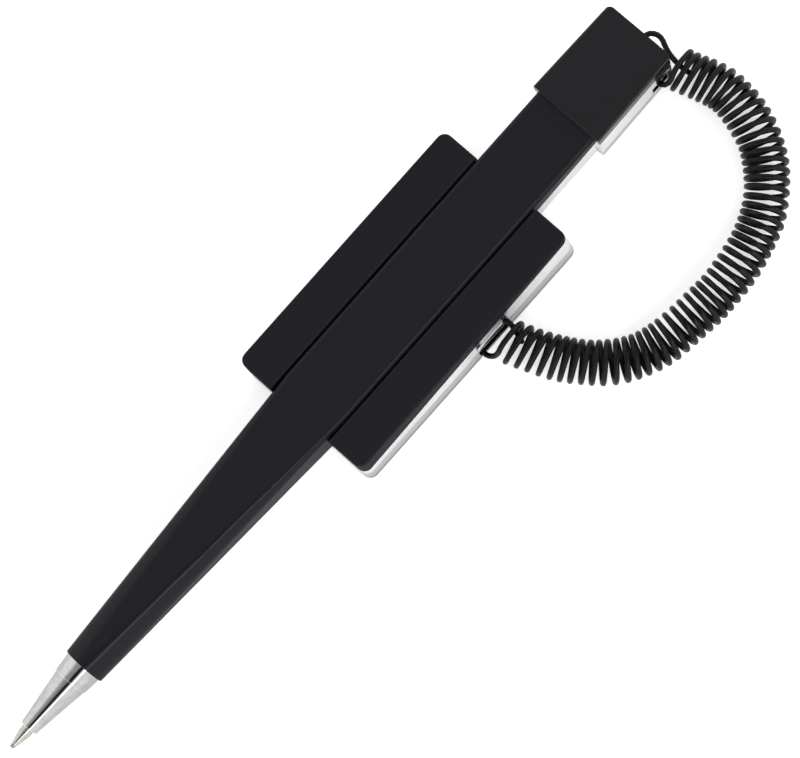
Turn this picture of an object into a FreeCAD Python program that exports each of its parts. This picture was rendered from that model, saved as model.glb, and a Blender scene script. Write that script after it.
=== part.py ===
"""Counter pen with a coiled security cord, lying in a stick-on holder.

Millimetres. X runs along the pen from the writing tip (-X) to the cap (+X), Y across it and Z up.
The origin is the middle of the holder's underside, where it meets the counter.
"""

import math
import os

import FreeCAD
import Part

from FreeCAD import Vector

# ---- driving dimensions -------------------------------------------------------------------------

# holder: a plated tray with two black rails, stuck to the counter
holder_length = 52.0
rail_width = 7.4
rail_below_pen = 0.1
holder_corner = 1.6
holder_draft = 0.35
outer_wall = 2.1
channel_wall = 1.2
tray_lift = 0.5
tray_floor = 1.9
channel_clearance = 0.3
rail_wall = 1.2
rail_edge = 0.4
rail_lip = 0.8
rail_lip_depth = 1.4
seam_height = 9.2
seam_slope = 0.078

# foam pad and its paper liner
liner_thickness = 0.15
pad_thickness = 1.0
pad_margin = 1.6

# screws that hold the rails from below
screw_thread = 1.6
screw_head = 3.4
screw_head_height = 0.8
screw_reach = 5.5
screw_spacing = 34.0
screw_slot_width = 0.2
screw_slot_depth = 0.25
screw_slot_margin = 0.2

# window in the holder's side, where the cord is tied round a steel pin
window_middle = 5.8
window_length = 7.7
window_bottom = 1.2
window_height = 6.2
window_depth = 3.4
cord_pin_diameter = 1.2
cord_pin_height = 4.3
cord_pin_inset = 0.75
cord_pin_seat = 1.4

# pen body
pen_width = 12.8
pen_height = 10.2
pen_edge = 0.8
pen_belly = 2.6
pen_wall = 1.3
grip_start = -22.0
barrel_front = -81.6
barrel_front_diameter = 7.7
barrel_front_wall = 1.0
barrel_rear = 41.3
pen_seam_rear = 9.9
pen_seam_slope = 0.0875
pen_seam_front = -36.0
pen_lip = 0.6
pen_lip_height = 0.8

# cap block on the rear of the pen
cap_length = 18.8
cap_beside_body = 1.0
cap_taper = 0.35
cap_over_body = 0.8
cap_cover = 2.7
cap_corner = 1.2
cap_edge = 0.4
cap_wall = 1.4
cap_hole_width = 3.8
cap_hole_height = 2.8
cap_hole_end_in = 6.65
cap_hole_side_x = 56.4
cap_hole_drop = 1.3

# plug that joins the barrel to the cap and stops the refill
plug_in_barrel = 9.0
plug_in_cap = 12.0
plug_recess = 5.0

# screwed nose
nose_length = 13.9
nose_inset = 0.35
nose_collar_length = 3.4
nose_collar_taper = 0.3
nose_collar_step = 0.15
nose_end_diameter = 3.3
nose_thread_length = 6.0
nose_seat_depth = 4.0
bush_length = 8.0
bush_wall = 0.55

# refill
tip_reach = 4.5
ball_diameter = 1.0
tip_diameter = 2.25
tip_shank_reach = 1.2
tip_mouth_diameter = 0.92
tip_spigot_diameter = 1.7
tip_spigot_length = 1.6
tip_shoulder_length = 1.9
adapter_length = 6.0
tube_diameter = 3.0
tube_bore = 2.0
tube_overlap = 3.0
ink_duct = 0.5
ink_headroom = 29.0
grease_length = 4.0

# cord; run_share is how much of a straight run an arc at its end may use up
wire_diameter = 1.0
coil_diameter = 8.0
run_share = 0.45

# clearances
slide_fit = 0.05
loose_fit = 0.15

# an inside corner's least radius, how far a nearly round section stays from a full circle,
# how far a cutting block runs past the face it cuts, and the size of one larger than the pen
least_radius = 0.3
round_margin = 0.02
overshoot = 1.0
far = 400.0

# ---- sizes that follow --------------------------------------------------------------------------

floor_top = tray_lift + tray_floor
pen_bottom = floor_top
pen_top = pen_bottom + pen_height
pen_axis = pen_bottom + pen_height / 2
channel_half = pen_width / 2 + channel_clearance
holder_width = 2 * (channel_half + rail_width)
holder_height = pen_top - rail_below_pen
boss_diameter = rail_width - channel_wall - outer_wall - 2 * loose_fit
cap_bottom = pen_bottom - cap_over_body
cap_top = pen_top + cap_over_body
cap_rear = barrel_rear + cap_length
cap_width = pen_width + 2 * cap_beside_body
cap_width_end = cap_width - 2 * cap_taper
cap_hole_end_y = cap_hole_end_in - cap_width_end / 2
cap_seam = cap_top - cap_cover
cap_hole_z = pen_axis - cap_hole_drop
nose_thread_diameter = barrel_front_diameter - 2 * (barrel_front_wall + bush_wall + slide_fit)
nose_end = barrel_front - nose_length
nose_collar_end = barrel_front - nose_collar_length
nose_root_radius = barrel_front_diameter / 2 - nose_inset
nose_seat = nose_end + nose_seat_depth
tip_end = nose_end - tip_reach
tip_rear = nose_seat + tip_shoulder_length + tip_spigot_length
adapter_rear = tip_rear + adapter_length
plug_front = barrel_rear - plug_in_barrel
tube_rear = plug_front + plug_recess - 2 * loose_fit
ink_rear = tube_rear - ink_headroom
window_wall_y = -holder_width / 2
cord_pin_y = window_wall_y + cord_pin_inset - holder_draft


# ---- shape helpers ------------------------------------------------------------------------------


def rounded_wire(x, width, bottom, top, low_radius, high_radius, y_middle=0.0):
    """A rectangle across X with rounded corners: width along Y, from bottom to top along Z."""
    half = width / 2
    corners = [
        (y_middle + half, bottom, low_radius),
        (y_middle + half, top, high_radius),
        (y_middle - half, top, high_radius),
        (y_middle - half, bottom, low_radius),
    ]
    inward = [(-1, 1), (-1, -1), (1, -1), (1, 1)]
    upright_first = [False, True, False, True]
    points = []
    for (y, z, radius), (dy, dz), upright in zip(corners, inward, upright_first):
        on_floor = Vector(x, y + dy * radius, z)
        on_wall = Vector(x, y, z + dz * radius)
        bend = radius * (1 - 0.5**0.5)
        middle = Vector(x, y + dy * bend, z + dz * bend)
        if upright:
            points.append((on_wall, middle, on_floor))
        else:
            points.append((on_floor, middle, on_wall))
    edges = []
    for number, (start, middle, end) in enumerate(points):
        following = points[(number + 1) % 4][0]
        edges.append(Part.Arc(start, middle, end).toShape())
        edges.append(Part.LineSegment(end, following).toShape())
    return Part.Wire(edges)


def flat_plate(length, width, radius, bottom, height, grow=0.0, x_middle=0.0, y_middle=0.0):
    """An upright block with rounded corners in plan; grow widens its underside on every side."""
    wires = []
    for z, extra in ((bottom, grow), (bottom + height, 0.0)):
        wire = rounded_wire(0, width + 2 * extra, -length / 2 - extra, length / 2 + extra, radius, radius)
        wire.rotate(Vector(0, 0, 0), Vector(0, 1, 0), 90)
        wire.translate(Vector(x_middle, y_middle, z))
        wires.append(wire)
    return Part.makeLoft(wires, True, True)


def box(x0, x1, y0, y1, z0, z1):
    """A plain box between two values on each axis."""
    return Part.makeBox(x1 - x0, y1 - y0, z1 - z0, Vector(x0, y0, z0))


def lying_cylinder(radius, x0, x1, y, z):
    """A cylinder along X."""
    return Part.makeCylinder(radius, x1 - x0, Vector(x0, y, z), Vector(1, 0, 0))


def turned(profile):
    """A solid of revolution about the pen's axis, from (x, radius) points that start and end on it."""
    points = [Vector(x, 0, pen_axis + radius) for x, radius in profile]
    points.append(points[0])
    face = Part.Face(Part.makePolygon(points))
    return face.revolve(Vector(0, 0, pen_axis), Vector(1, 0, 0), 360)


def above_plane(x_at, height, slope):
    """A very large block above the sloping plane that is height high at x_at."""
    low = height + slope * (-far - x_at)
    high = height + slope * (far - x_at)
    corners = [Vector(-far, 0, low), Vector(far, 0, high), Vector(far, 0, far), Vector(-far, 0, far)]
    face = Part.Face(Part.makePolygon(corners + [corners[0]]))
    face.translate(Vector(0, -far, 0))
    return face.extrude(Vector(0, 2 * far, 0))


def rounded_tube(points, diameter):
    """A round tube along straight runs that are joined by tangent arcs; prints its radii and its volume."""
    radii = []
    edges = []
    start = points[0]
    for before, corner, after in zip(points, points[1:], points[2:]):
        toward = corner - before
        onward = after - corner
        half_turn = toward.getAngle(onward) / 2
        trim = run_share * min(toward.Length, onward.Length)
        radius = trim / math.tan(half_turn)
        toward.normalize()
        onward.normalize()
        first = corner - toward * trim
        last = corner + onward * trim
        inward = (onward - toward).normalize()
        depth = radius / math.cos(half_turn) - radius
        edges.append(Part.LineSegment(start, first).toShape())
        edges.append(Part.Arc(first, corner + inward * depth, last).toShape())
        radii.append(radius)
        start = last
    edges.append(Part.LineSegment(start, points[-1]).toShape())
    path = Part.Wire(edges)
    section = Part.Wire(Part.makeCircle(diameter / 2, points[0], points[1] - points[0]))
    tube = path.makePipeShell([section], True, False)
    expected = math.pi * diameter**2 / 4 * path.Length
    print(f"  tube {diameter:g}: length {path.Length:.1f}, radii {[round(r, 1) for r in radii]}")
    print(f"  volume {tube.Volume:.2f}, section times length {expected:.2f}")
    return tube


# ---- holder -------------------------------------------------------------------------------------


def holder_seam(raise_by=0.0):
    """Everything above the sloping line where the black rails meet the plated tray."""
    return above_plane(0.0, seam_height + raise_by, seam_slope)


def screw_places():
    """The middles of the four screws that hold the rails."""
    y = (channel_half + channel_wall + holder_width / 2 - outer_wall) / 2
    return [(x, side * y) for side in (1, -1) for x in (-screw_spacing / 2, screw_spacing / 2)]


def side_pocket(side, shrink=0.0):
    """The hollow inside one side block, from the tray's floor up."""
    near = channel_half + channel_wall + shrink
    outer = holder_width / 2 - outer_wall - shrink
    end = holder_length / 2 - outer_wall - shrink
    return box(-end, end, min(side * near, side * outer), max(side * near, side * outer), floor_top, far)


def window_block(depth):
    """The space of the cord's window in the -Y side."""
    x0 = window_middle - window_length / 2
    y0 = window_wall_y + depth
    return box(x0, x0 + window_length, -holder_width, y0, window_bottom, window_bottom + window_height)


def holder_base():
    """The plated tray: a floor, a channel for the pen and two hollow side blocks."""
    height = holder_height - tray_lift
    tray = flat_plate(holder_length, holder_width, holder_corner, tray_lift, height, holder_draft)
    tray = tray.cut(holder_seam())
    tray = tray.cut(box(-far, far, -channel_half, channel_half, floor_top, far))
    for side in (1, -1):
        tray = tray.cut(side_pocket(side))
    tray = tray.cut(window_block(window_depth))
    tray = tray.cut(cord_pin_shape(slide_fit))
    pad_space = liner_thickness + pad_thickness
    margin = pad_margin - loose_fit
    recess = flat_plate(holder_length - 2 * margin, holder_width - 2 * margin, holder_corner, 0, pad_space)
    tray = tray.cut(recess)
    for x, y in screw_places():
        tray = tray.cut(Part.makeCylinder(screw_thread / 2 + loose_fit, floor_top, Vector(x, y, 0)))
        head_space = Part.makeCylinder(screw_head / 2 + loose_fit, pad_space + screw_head_height, Vector(x, y, 0))
        tray = tray.cut(head_space)
    return tray


def holder_rail(side):
    """One black rail: a cover on a side block, with a lip inside it and two screw bosses."""
    height = holder_height - tray_lift
    block = flat_plate(holder_length, holder_width, holder_corner, tray_lift, height, holder_draft)
    keep = box(-far, far, min(side * channel_half, side * far), max(side * channel_half, side * far), 0, far)
    cover = block.common(keep).common(holder_seam())
    top_edges = [edge for edge in cover.Edges if edge.BoundBox.ZMin > holder_height - rail_edge / 2]
    cover = cover.makeFillet(rail_edge, top_edges)
    under_top = box(-far, far, -far, far, 0, holder_height - rail_wall)
    hollow = side_pocket(side, slide_fit + rail_lip).common(under_top)
    skirt = side_pocket(side, slide_fit).cut(hollow)
    skirt = skirt.common(under_top).common(holder_seam(-rail_lip_depth))
    cover = cover.cut(hollow).fuse(skirt)
    for x, y in screw_places():
        if y * side > 0:
            boss_height = holder_height - rail_wall - floor_top
            boss = Part.makeCylinder(boss_diameter / 2, boss_height, Vector(x, y, floor_top))
            pilot = Part.makeCylinder(screw_thread / 2 + slide_fit, screw_reach, Vector(x, y, floor_top))
            cover = cover.fuse(boss).cut(pilot)
    return cover.removeSplitter()


def rail_screws():
    """Four small self-tapping screws, driven up through the tray into the rails."""
    screws = []
    for x, y in screw_places():
        head_low = liner_thickness + pad_thickness
        head = Part.makeCylinder(screw_head / 2, screw_head_height, Vector(x, y, head_low))
        length = floor_top - head_low + screw_reach - 2 * slide_fit
        shank = Part.makeCylinder(screw_thread / 2, length, Vector(x, y, head_low))
        half = screw_head / 2 - screw_slot_margin
        half_width = screw_slot_width / 2
        slot = box(x - half, x + half, y - half_width, y + half_width, 0, head_low + screw_slot_depth)
        screws.append(head.fuse(shank).cut(slot))
    return Part.makeCompound(screws)


def adhesive_pad():
    """Double-sided foam in the recess under the tray."""
    length = holder_length - 2 * pad_margin
    width = holder_width - 2 * pad_margin
    return flat_plate(length, width, holder_corner, liner_thickness, pad_thickness)


def release_liner():
    """The paper that covers the foam until the holder is stuck down."""
    length = holder_length - 2 * pad_margin
    width = holder_width - 2 * pad_margin
    return flat_plate(length, width, holder_corner, 0, liner_thickness)


def cord_pin_shape(clearance=0.0):
    """The steel pin across the window that the cord is tied round."""
    half = window_length / 2 + cord_pin_seat + clearance
    radius = cord_pin_diameter / 2 + clearance
    return lying_cylinder(radius, window_middle - half, window_middle + half, cord_pin_y, cord_pin_height)


# ---- pen body -----------------------------------------------------------------------------------


def pen_form(inset):
    """The pen's outside, or the same form inset by a wall: a box that draws in to a round nose end."""
    nose_radius = barrel_front_diameter / 2 - inset * barrel_front_wall / pen_wall
    nearly_round = nose_radius - round_margin
    high = max(pen_edge - inset / 2, least_radius)
    low = max(pen_belly - inset, least_radius)
    sections = []
    for x in (grip_start, barrel_rear):
        wire = rounded_wire(x, pen_width - 2 * inset, pen_bottom + inset, pen_top - inset, low, high)
        sections.append(wire)
    low_z = pen_axis - nose_radius
    high_z = pen_axis + nose_radius
    front = rounded_wire(barrel_front, 2 * nose_radius, low_z, high_z, nearly_round, nearly_round)
    grip = Part.makeLoft([front, sections[0]], True, True)
    straight = Part.makeLoft(sections, True, True)
    return grip.fuse(straight).removeSplitter()


def pen_seam(raise_by=0.0):
    """Everything above the sloping line between the two halves, and in front of the plated one."""
    above = above_plane(barrel_rear, pen_seam_rear + raise_by, pen_seam_slope)
    return above.fuse(box(-far, pen_seam_front, -far, far, -far, far)).removeSplitter()


def pen_shell():
    """The hollow body before it is parted into its two halves."""
    return pen_form(0.0).cut(pen_form(pen_wall))


def barrel_upper():
    """The black half, which takes in the whole round front of the grip."""
    return pen_shell().common(pen_seam())


def barrel_lower():
    """The plated half, a long wedge under the pen, with a lip that locates it in the black half."""
    lower = pen_shell().cut(pen_seam())
    clip = box(grip_start, plug_front - loose_fit, -far, far, -far, far)
    lip_inside = pen_form(pen_wall + slide_fit + pen_lip)
    lip = pen_form(pen_wall + slide_fit).cut(lip_inside)
    lip = lip.common(pen_seam()).cut(pen_seam(pen_lip_height)).common(clip)
    root = pen_form(pen_wall).cut(lip_inside)
    root = root.cut(pen_seam()).common(pen_seam(-pen_lip_height)).common(clip)
    return lower.fuse(root).fuse(lip).removeSplitter()


def nose_bush():
    """The brass sleeve pressed into the barrel's front, threaded inside for the nose."""
    outer = barrel_front_diameter / 2 - barrel_front_wall
    sleeve = lying_cylinder(outer, barrel_front, barrel_front + bush_length, 0, pen_axis)
    bore = lying_cylinder(nose_thread_diameter / 2 + slide_fit, -far, 0, 0, pen_axis)
    return sleeve.cut(bore)


def plug_form(x0, x1, inset):
    """A block that fills the pen's hollow from x0 to x1."""
    low = max(pen_belly - inset, least_radius)
    high = max(pen_edge - inset / 2, least_radius)
    wires = []
    for x in (x0, x1):
        wires.append(rounded_wire(x, pen_width - 2 * inset, pen_bottom + inset, pen_top - inset, low, high))
    return Part.makeLoft(wires, True, True)


def rear_plug():
    """The block glued into the barrel's rear that carries the cap and stops the refill."""
    block = plug_form(plug_front, barrel_rear + plug_in_cap, pen_wall + slide_fit)
    stop = plug_front + plug_recess
    socket = lying_cylinder(tube_diameter / 2 + loose_fit, plug_front - overshoot, stop, 0, pen_axis)
    hollow = lying_cylinder(tube_diameter / 2, stop + pen_wall, far, 0, pen_axis)
    return block.cut(socket).cut(hollow)


# ---- cap block ----------------------------------------------------------------------------------


def cap_form(inset):
    """The cap's outside, a block that narrows a little to the rear, or the same form inset."""
    wires = []
    for x, width in ((barrel_rear + inset, cap_width), (cap_rear - inset, cap_width_end)):
        wire = rounded_wire(x, width - 2 * inset, cap_bottom + inset, cap_top - inset, cap_corner, cap_edge)
        wires.append(wire)
    return Part.makeLoft(wires, True, True)


def cap_outside():
    """The cap's outside with its rear corners rounded in plan."""
    half_front = cap_width / 2
    half_rear = cap_width_end / 2
    corners = [
        Vector(barrel_rear, -half_front, 0),
        Vector(cap_rear, -half_rear, 0),
        Vector(cap_rear, half_rear, 0),
        Vector(barrel_rear, half_front, 0),
    ]
    block = Part.Face(Part.makePolygon(corners + [corners[0]])).extrude(Vector(0, 0, 2 * cap_top))
    uprights = []
    for edge in block.Edges:
        bounds = edge.BoundBox
        if bounds.ZLength > cap_top and bounds.XMin > cap_rear - cap_corner:
            uprights.append(edge)
    return block.makeFillet(cap_corner, uprights).common(cap_form(0.0))


def cap_shell():
    """The hollow cap with a mouth for the barrel plug."""
    shell = cap_outside().cut(cap_form(cap_wall))
    mouth = plug_form(barrel_rear - overshoot, barrel_rear + cap_wall + overshoot, pen_wall)
    return shell.cut(mouth)


def cap_top_half():
    """A very large block above the cap's seam."""
    return above_plane(0.0, cap_seam, 0.0)


def cap_holes():
    """The two holes beside the cap's rear corner that the cord's end turn passes through."""
    high = cap_hole_z + cap_hole_height / 2
    low = cap_hole_z - cap_hole_height / 2
    half = cap_hole_width / 2
    inner_x = cap_rear - 2 * cap_wall
    end_hole = box(inner_x, cap_rear + overshoot, cap_hole_end_y - half, cap_hole_end_y + half, low, high)
    side_x = cap_hole_side_x
    side_hole = box(side_x - half, side_x + half, -cap_width, -cap_width_end / 2 + 2 * cap_wall, low, high)
    return end_hole.fuse(side_hole)


def cap_upper():
    """The black cover of the cap."""
    return cap_shell().common(cap_top_half())


def cap_lower():
    """The plated lower shell of the cap, with the cord's two holes."""
    return cap_shell().cut(cap_top_half()).cut(cap_holes())


# ---- nose and refill ----------------------------------------------------------------------------


def nose_cone():
    """The plated metal nose: a collar, a cone and a threaded spigot, bored for the refill."""
    tip_bore = tip_diameter / 2 + slide_fit
    tube_way = tube_diameter / 2 + loose_fit
    profile = [
        (nose_end, tip_bore),
        (nose_end, nose_end_diameter / 2),
        (nose_collar_end, nose_root_radius - nose_collar_taper - nose_collar_step),
        (nose_collar_end, nose_root_radius - nose_collar_taper),
        (barrel_front, nose_root_radius),
        (barrel_front, nose_thread_diameter / 2),
        (barrel_front + nose_thread_length, nose_thread_diameter / 2),
        (barrel_front + nose_thread_length, tube_way),
        (nose_seat, tube_way),
        (nose_seat, tip_bore),
    ]
    return turned(profile)


def refill_point():
    """The metal point of the refill: a shank, a cone and a socket that is turned in over the ball."""
    ball_x = tip_end + ball_diameter / 2
    mouth_x = ball_x - ball_diameter / 8
    profile = [
        (mouth_x, 0),
        (mouth_x, tip_mouth_diameter / 2),
        (nose_end - tip_shank_reach, tip_diameter / 2),
        (nose_seat, tip_diameter / 2),
        (nose_seat, tube_diameter / 2),
        (tip_rear - tip_spigot_length, tube_diameter / 2),
        (tip_rear - tip_spigot_length, tip_spigot_diameter / 2),
        (tip_rear, tip_spigot_diameter / 2),
        (tip_rear, 0),
    ]
    point = turned(profile)
    socket = Part.makeSphere(ball_diameter / 2 + slide_fit / 2, Vector(ball_x, 0, pen_axis))
    duct = lying_cylinder(ink_duct / 2, ball_x, tip_rear + overshoot, 0, pen_axis)
    return point.cut(socket).cut(duct)


def writing_ball():
    """The ball that rolls in the point."""
    return Part.makeSphere(ball_diameter / 2, Vector(tip_end + ball_diameter / 2, 0, pen_axis))


def refill_adapter():
    """The plastic socket between the metal point and the ink tube."""
    front = tip_rear - tip_spigot_length
    body = lying_cylinder(tube_diameter / 2, front, adapter_rear - tube_overlap, 0, pen_axis)
    spigot = lying_cylinder(tube_bore / 2, adapter_rear - tube_overlap, adapter_rear, 0, pen_axis)
    bore = lying_cylinder(tip_spigot_diameter / 2, front, tip_rear, 0, pen_axis)
    duct = lying_cylinder(ink_duct / 2, tip_rear, adapter_rear, 0, pen_axis)
    return body.fuse(spigot).cut(bore).cut(duct)


def refill_tube():
    """The clear plastic tube that holds the ink."""
    front = adapter_rear - tube_overlap
    tube = lying_cylinder(tube_diameter / 2, front, tube_rear, 0, pen_axis)
    return tube.cut(lying_cylinder(tube_bore / 2, front, tube_rear, 0, pen_axis))


def ink():
    """The column of ink."""
    return lying_cylinder(tube_bore / 2, adapter_rear, ink_rear, 0, pen_axis)


def grease_plug():
    """The clear grease that follows the ink and keeps it from running out of the rear."""
    return lying_cylinder(tube_bore / 2, ink_rear, ink_rear + grease_length, 0, pen_axis)


# ---- cord ---------------------------------------------------------------------------------------

# the coil's middle line: the part by the holder, from a point on the counter under the pin's middle
coil_by_holder = [
    (0.9, -2.7, 4.05),
    (2.8, -8.2, 4.05),
    (5.6, -13.8, 4.05),
    (10.1, -19.3, 4.05),
    (16.2, -22.7, 4.05),
    (23.4, -23.7, 4.05),
    (30.8, -24.3, 4.05),
    (38.1, -23.5, 4.05),
    (44.7, -21.6, 4.05),
]

# and the part by the cap, from a point on the counter under the cap's rear corner
coil_by_cap = [
    (-4.4, -24.7, 4.05),
    (-0.2, -19.9, 4.05),
    (2.1, -14.15, 4.1),
    (2.8, -9.35, 4.2),
    (2.25, -6.15, 4.25),
    (1.2, -2.95, 4.3),
    (0.4, -0.25, 4.3),
]

# the turn tied round the pin in the holder's window, from the pin's middle
holder_turn = [
    (2.4, -4.7, -0.1),
    (3.1, -2.7, 0.7),
    (3.5, -1.0, 1.4),
    (2.3, 1.1, 1.2),
    (0.0, 1.5, 0.0),
    (-2.4, 1.0, -1.3),
    (-3.4, -0.8, -1.9),
    (-2.8, -2.6, -1.1),
    (-1.8, -3.3, 0.9),
]

# the turn tied through the cap's rear corner, from that corner at the holes' height
cap_turn = [
    (-3.0, -1.45, 0.4),
    (-4.0, -0.15, 0.0),
    (-3.8, 2.05, -0.2),
    (-2.7, 4.65, -0.2),
    (-0.8, 6.85, -0.1),
    (1.3, 7.65, 0.1),
    (2.6, 5.45, 0.4),
    (1.25, 2.9, 0.7),
    (0.8, 1.1, 0.6),
    (0.65, -1.0, 0.0),
    (1.0, -2.95, -0.8),
]


def placed(points, x, y, z):
    """Points that are given from (x, y, z), in the part's own frame."""
    return [Vector(x + dx, y + dy, z + dz) for dx, dy, dz in points]


def coil_cord():
    """The curly cord as the round space that its turns fill."""
    route = placed(coil_by_holder, window_middle, cord_pin_y, 0)
    route += placed(coil_by_cap, cap_rear, -cap_width_end / 2, 0)
    return rounded_tube(route, coil_diameter)


def cord_loop_holder():
    """The cord's end turn at the holder."""
    return rounded_tube(placed(holder_turn, window_middle, cord_pin_y, cord_pin_height), wire_diameter)


def cord_loop_cap():
    """The cord's end turn at the cap."""
    return rounded_tube(placed(cap_turn, cap_rear, -cap_width_end / 2, cap_hole_z), wire_diameter)


# ---- all the pieces -----------------------------------------------------------------------------

pieces = {
    "holder_base": holder_base(),
    "rail_left": holder_rail(1),
    "rail_right": holder_rail(-1),
    "rail_screws": rail_screws(),
    "adhesive_pad": adhesive_pad(),
    "release_liner": release_liner(),
    "cord_pin": cord_pin_shape(),
    "barrel_upper": barrel_upper(),
    "barrel_lower": barrel_lower(),
    "nose_bush": nose_bush(),
    "rear_plug": rear_plug(),
    "cap_upper": cap_upper(),
    "cap_lower": cap_lower(),
    "nose_cone": nose_cone(),
    "refill_point": refill_point(),
    "writing_ball": writing_ball(),
    "refill_adapter": refill_adapter(),
    "refill_tube": refill_tube(),
    "ink": ink(),
    "grease_plug": grease_plug(),
    "coil_cord": coil_cord(),
    "cord_loop_holder": cord_loop_holder(),
    "cord_loop_cap": cord_loop_cap(),
}

os.makedirs("parts", exist_ok=True)
for name, shape in pieces.items():
    shape.exportStep(f"parts/{name}.step")
    print(f"{name}: {len(shape.Solids)} solid(s), volume {shape.Volume:.2f}, valid {shape.isValid()}")
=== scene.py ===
"""Counter pen in its stick-on holder, tied to it by a curly cord. Metres; +X runs from tip to cap."""

import math

import bmesh
import bpy
import numpy as np
from mathutils import Matrix, Vector


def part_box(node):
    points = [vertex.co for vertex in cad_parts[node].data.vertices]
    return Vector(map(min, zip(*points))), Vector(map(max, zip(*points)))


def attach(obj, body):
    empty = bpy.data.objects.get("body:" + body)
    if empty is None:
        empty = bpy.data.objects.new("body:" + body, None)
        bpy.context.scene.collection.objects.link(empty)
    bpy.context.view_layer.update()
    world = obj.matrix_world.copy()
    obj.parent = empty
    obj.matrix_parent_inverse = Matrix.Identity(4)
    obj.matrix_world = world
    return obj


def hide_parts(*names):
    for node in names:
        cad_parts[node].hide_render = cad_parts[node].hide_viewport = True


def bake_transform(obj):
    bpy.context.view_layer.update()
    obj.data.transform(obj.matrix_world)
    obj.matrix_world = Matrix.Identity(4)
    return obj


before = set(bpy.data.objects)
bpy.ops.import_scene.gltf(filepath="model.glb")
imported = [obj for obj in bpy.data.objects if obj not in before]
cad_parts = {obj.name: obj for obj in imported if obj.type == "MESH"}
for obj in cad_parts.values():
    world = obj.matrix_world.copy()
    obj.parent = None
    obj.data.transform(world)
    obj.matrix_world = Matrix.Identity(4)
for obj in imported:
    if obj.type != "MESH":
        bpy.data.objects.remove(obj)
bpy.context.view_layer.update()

# ---- holder tray --------------------------------------------------------------------------------
# The tray is moulded in ABS and chrome plated. The plating follows the moulding's faint ripple, and
# handling leaves hairlines and a thin film on it. What it mirrors low down is darker, and two steps
# of grey that are laid on by height stand for that.

plated_colour = (0.97, 0.97, 0.98, 1)
painted_low_shade = (0.15, 0.15, 0.16, 1)
painted_low_shade_bottom = 0.0012
painted_low_shade_top = 0.0027
painted_middle_shade = (0.46, 0.46, 0.47, 1)
painted_middle_shade_bottom = 0.0046
painted_middle_shade_top = 0.0054
rubbed_plating = (0.90, 0.90, 0.90, 1)
film_tint = 0.86
film_size = 0.011
plated_roughness = 0.07
film_roughness = 0.19
plated_edge_radius = 0.00012
ripple_size = 0.004
ripple_depth = 0.0000025
ripple_peel = 0.05
hairline_width = 0.00035
hairline_amount = 0.8
hairline_roughness = 0.12
hairline_depth = 0.0000012


def node(tree, kind, inputs=None, **settings):
    """One node of a tree; each input is a plain value or another node's socket."""
    made = tree.nodes.new(kind)
    for name, value in settings.items():
        setattr(made, name, value)
    for key, value in (inputs or {}).items():
        if isinstance(value, bpy.types.NodeSocket):
            tree.links.new(value, made.inputs[key])
        else:
            made.inputs[key].default_value = value
    return made


def effect(name, inputs, outputs):
    """An empty shader node group; inputs give a socket's type and its usual value."""
    group = bpy.data.node_groups.new(name, "ShaderNodeTree")
    for label, (kind, value) in inputs.items():
        socket = group.interface.new_socket(label, in_out="INPUT", socket_type=kind)
        if value is not None:
            socket.default_value = value
    for label, kind in outputs.items():
        group.interface.new_socket(label, in_out="OUTPUT", socket_type=kind)
    return group, group.nodes.new("NodeGroupInput"), group.nodes.new("NodeGroupOutput")


def math_node(tree, operation, first, second=0.0):
    """The result of one sum on two values or sockets."""
    return node(tree, "ShaderNodeMath", {0: first, 1: second}, operation=operation).outputs[0]


def noise(tree, where, scale, **more):
    """A noise of 0 to 1 at these coordinates; scale is how many waves a metre has."""
    inputs = {"Vector": where, "Scale": scale} | more
    return node(tree, "ShaderNodeTexNoise", inputs).outputs["Fac"]


def object_place(tree):
    """Where a point lies in its own object, which is the part's frame."""
    return node(tree, "ShaderNodeTexCoord").outputs["Object"]


def ramp(tree, value, low, high, start=0.0, end=1.0):
    """A value spread from low..high to start..end and held there."""
    inputs = {"Value": value, "From Min": low, "From Max": high, "To Min": start, "To Max": end}
    return node(tree, "ShaderNodeMapRange", inputs).outputs[0]


def moulding_ripple():
    """Height of a moulded face's slow waves and fine orange peel; Size is the waves' width."""
    peel_to_waves = 9.0
    sockets = {"Vector": ("NodeSocketVector", None), "Size": ("NodeSocketFloat", 0.004),
               "Peel": ("NodeSocketFloat", 0.2)}
    group, given, result = effect("moulding_ripple", sockets, {"Height": "NodeSocketFloat"})
    waves_per_metre = math_node(group, "DIVIDE", 1.0, given.outputs["Size"])
    peel_per_metre = math_node(group, "MULTIPLY", waves_per_metre, peel_to_waves)
    waves = noise(group, given.outputs["Vector"], waves_per_metre, Detail=1.5)
    peel = noise(group, given.outputs["Vector"], peel_per_metre, Detail=1.0)
    fine = math_node(group, "MULTIPLY", peel, given.outputs["Peel"])
    group.links.new(math_node(group, "ADD", waves, fine), result.inputs["Height"])
    return group


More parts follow.
